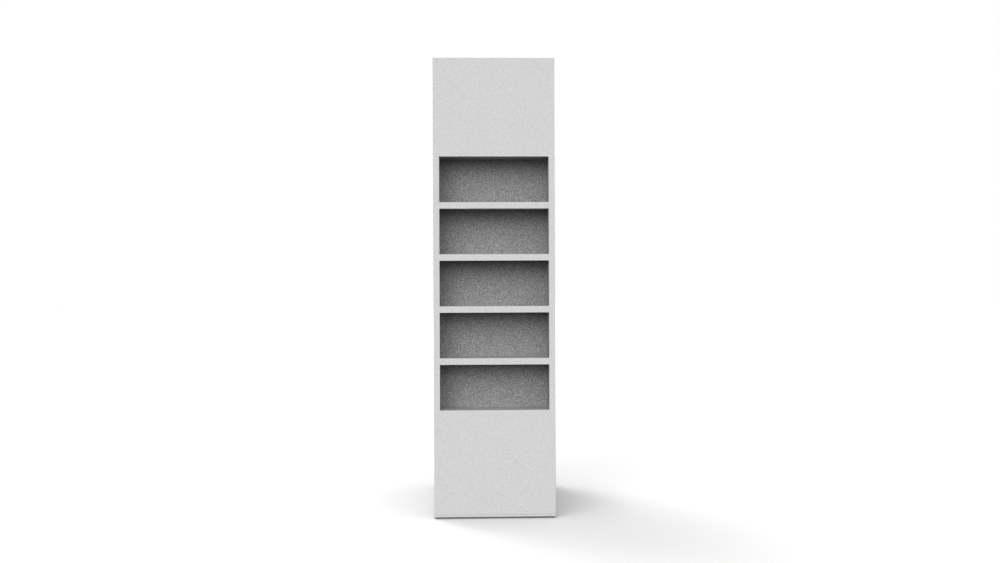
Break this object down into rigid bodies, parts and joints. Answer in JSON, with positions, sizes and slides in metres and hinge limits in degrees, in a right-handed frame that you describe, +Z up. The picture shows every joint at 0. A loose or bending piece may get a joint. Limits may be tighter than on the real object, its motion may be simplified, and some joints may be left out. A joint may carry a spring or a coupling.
{
  "type": "floor display stand",
  "caption": "Tall folded-board floor display tower with a plain header, a column of equal shallow window bays and a plain foot panel.",
  "frame": {"origin": "middle of the footprint, on the floor", "axes": "+Z up, the window bays face -Y, +X to the shopper's right"},
  "size_m": [0.4, 0.6, 1.514],
  "materials": {
    "sleeve_board": "matt white corrugated board",
    "liner_board": "matt grey corrugated board with flecks",
    "shelf_board": "matt grey corrugated board with flecks",
    "tray_board": "matt grey corrugated board with flecks",
    "cap_board": "matt white corrugated board",
    "brace_board": "plain brown corrugated board"
  },
  "bodies": {
    "root": {"outer_sleeve": "sleeve_board", "niche_liner": "liner_board", "shelf_1": "shelf_board", "shelf_2": "shelf_board", "shelf_3": "shelf_board", "shelf_4": "shelf_board", "shelf_5": "shelf_board", "header_soffit": "shelf_board", "base_tray": "tray_board", "top_cap": "cap_board", "brace_long": "brace_board", "brace_wide": "brace_board"}
  },
  "joints": []
}
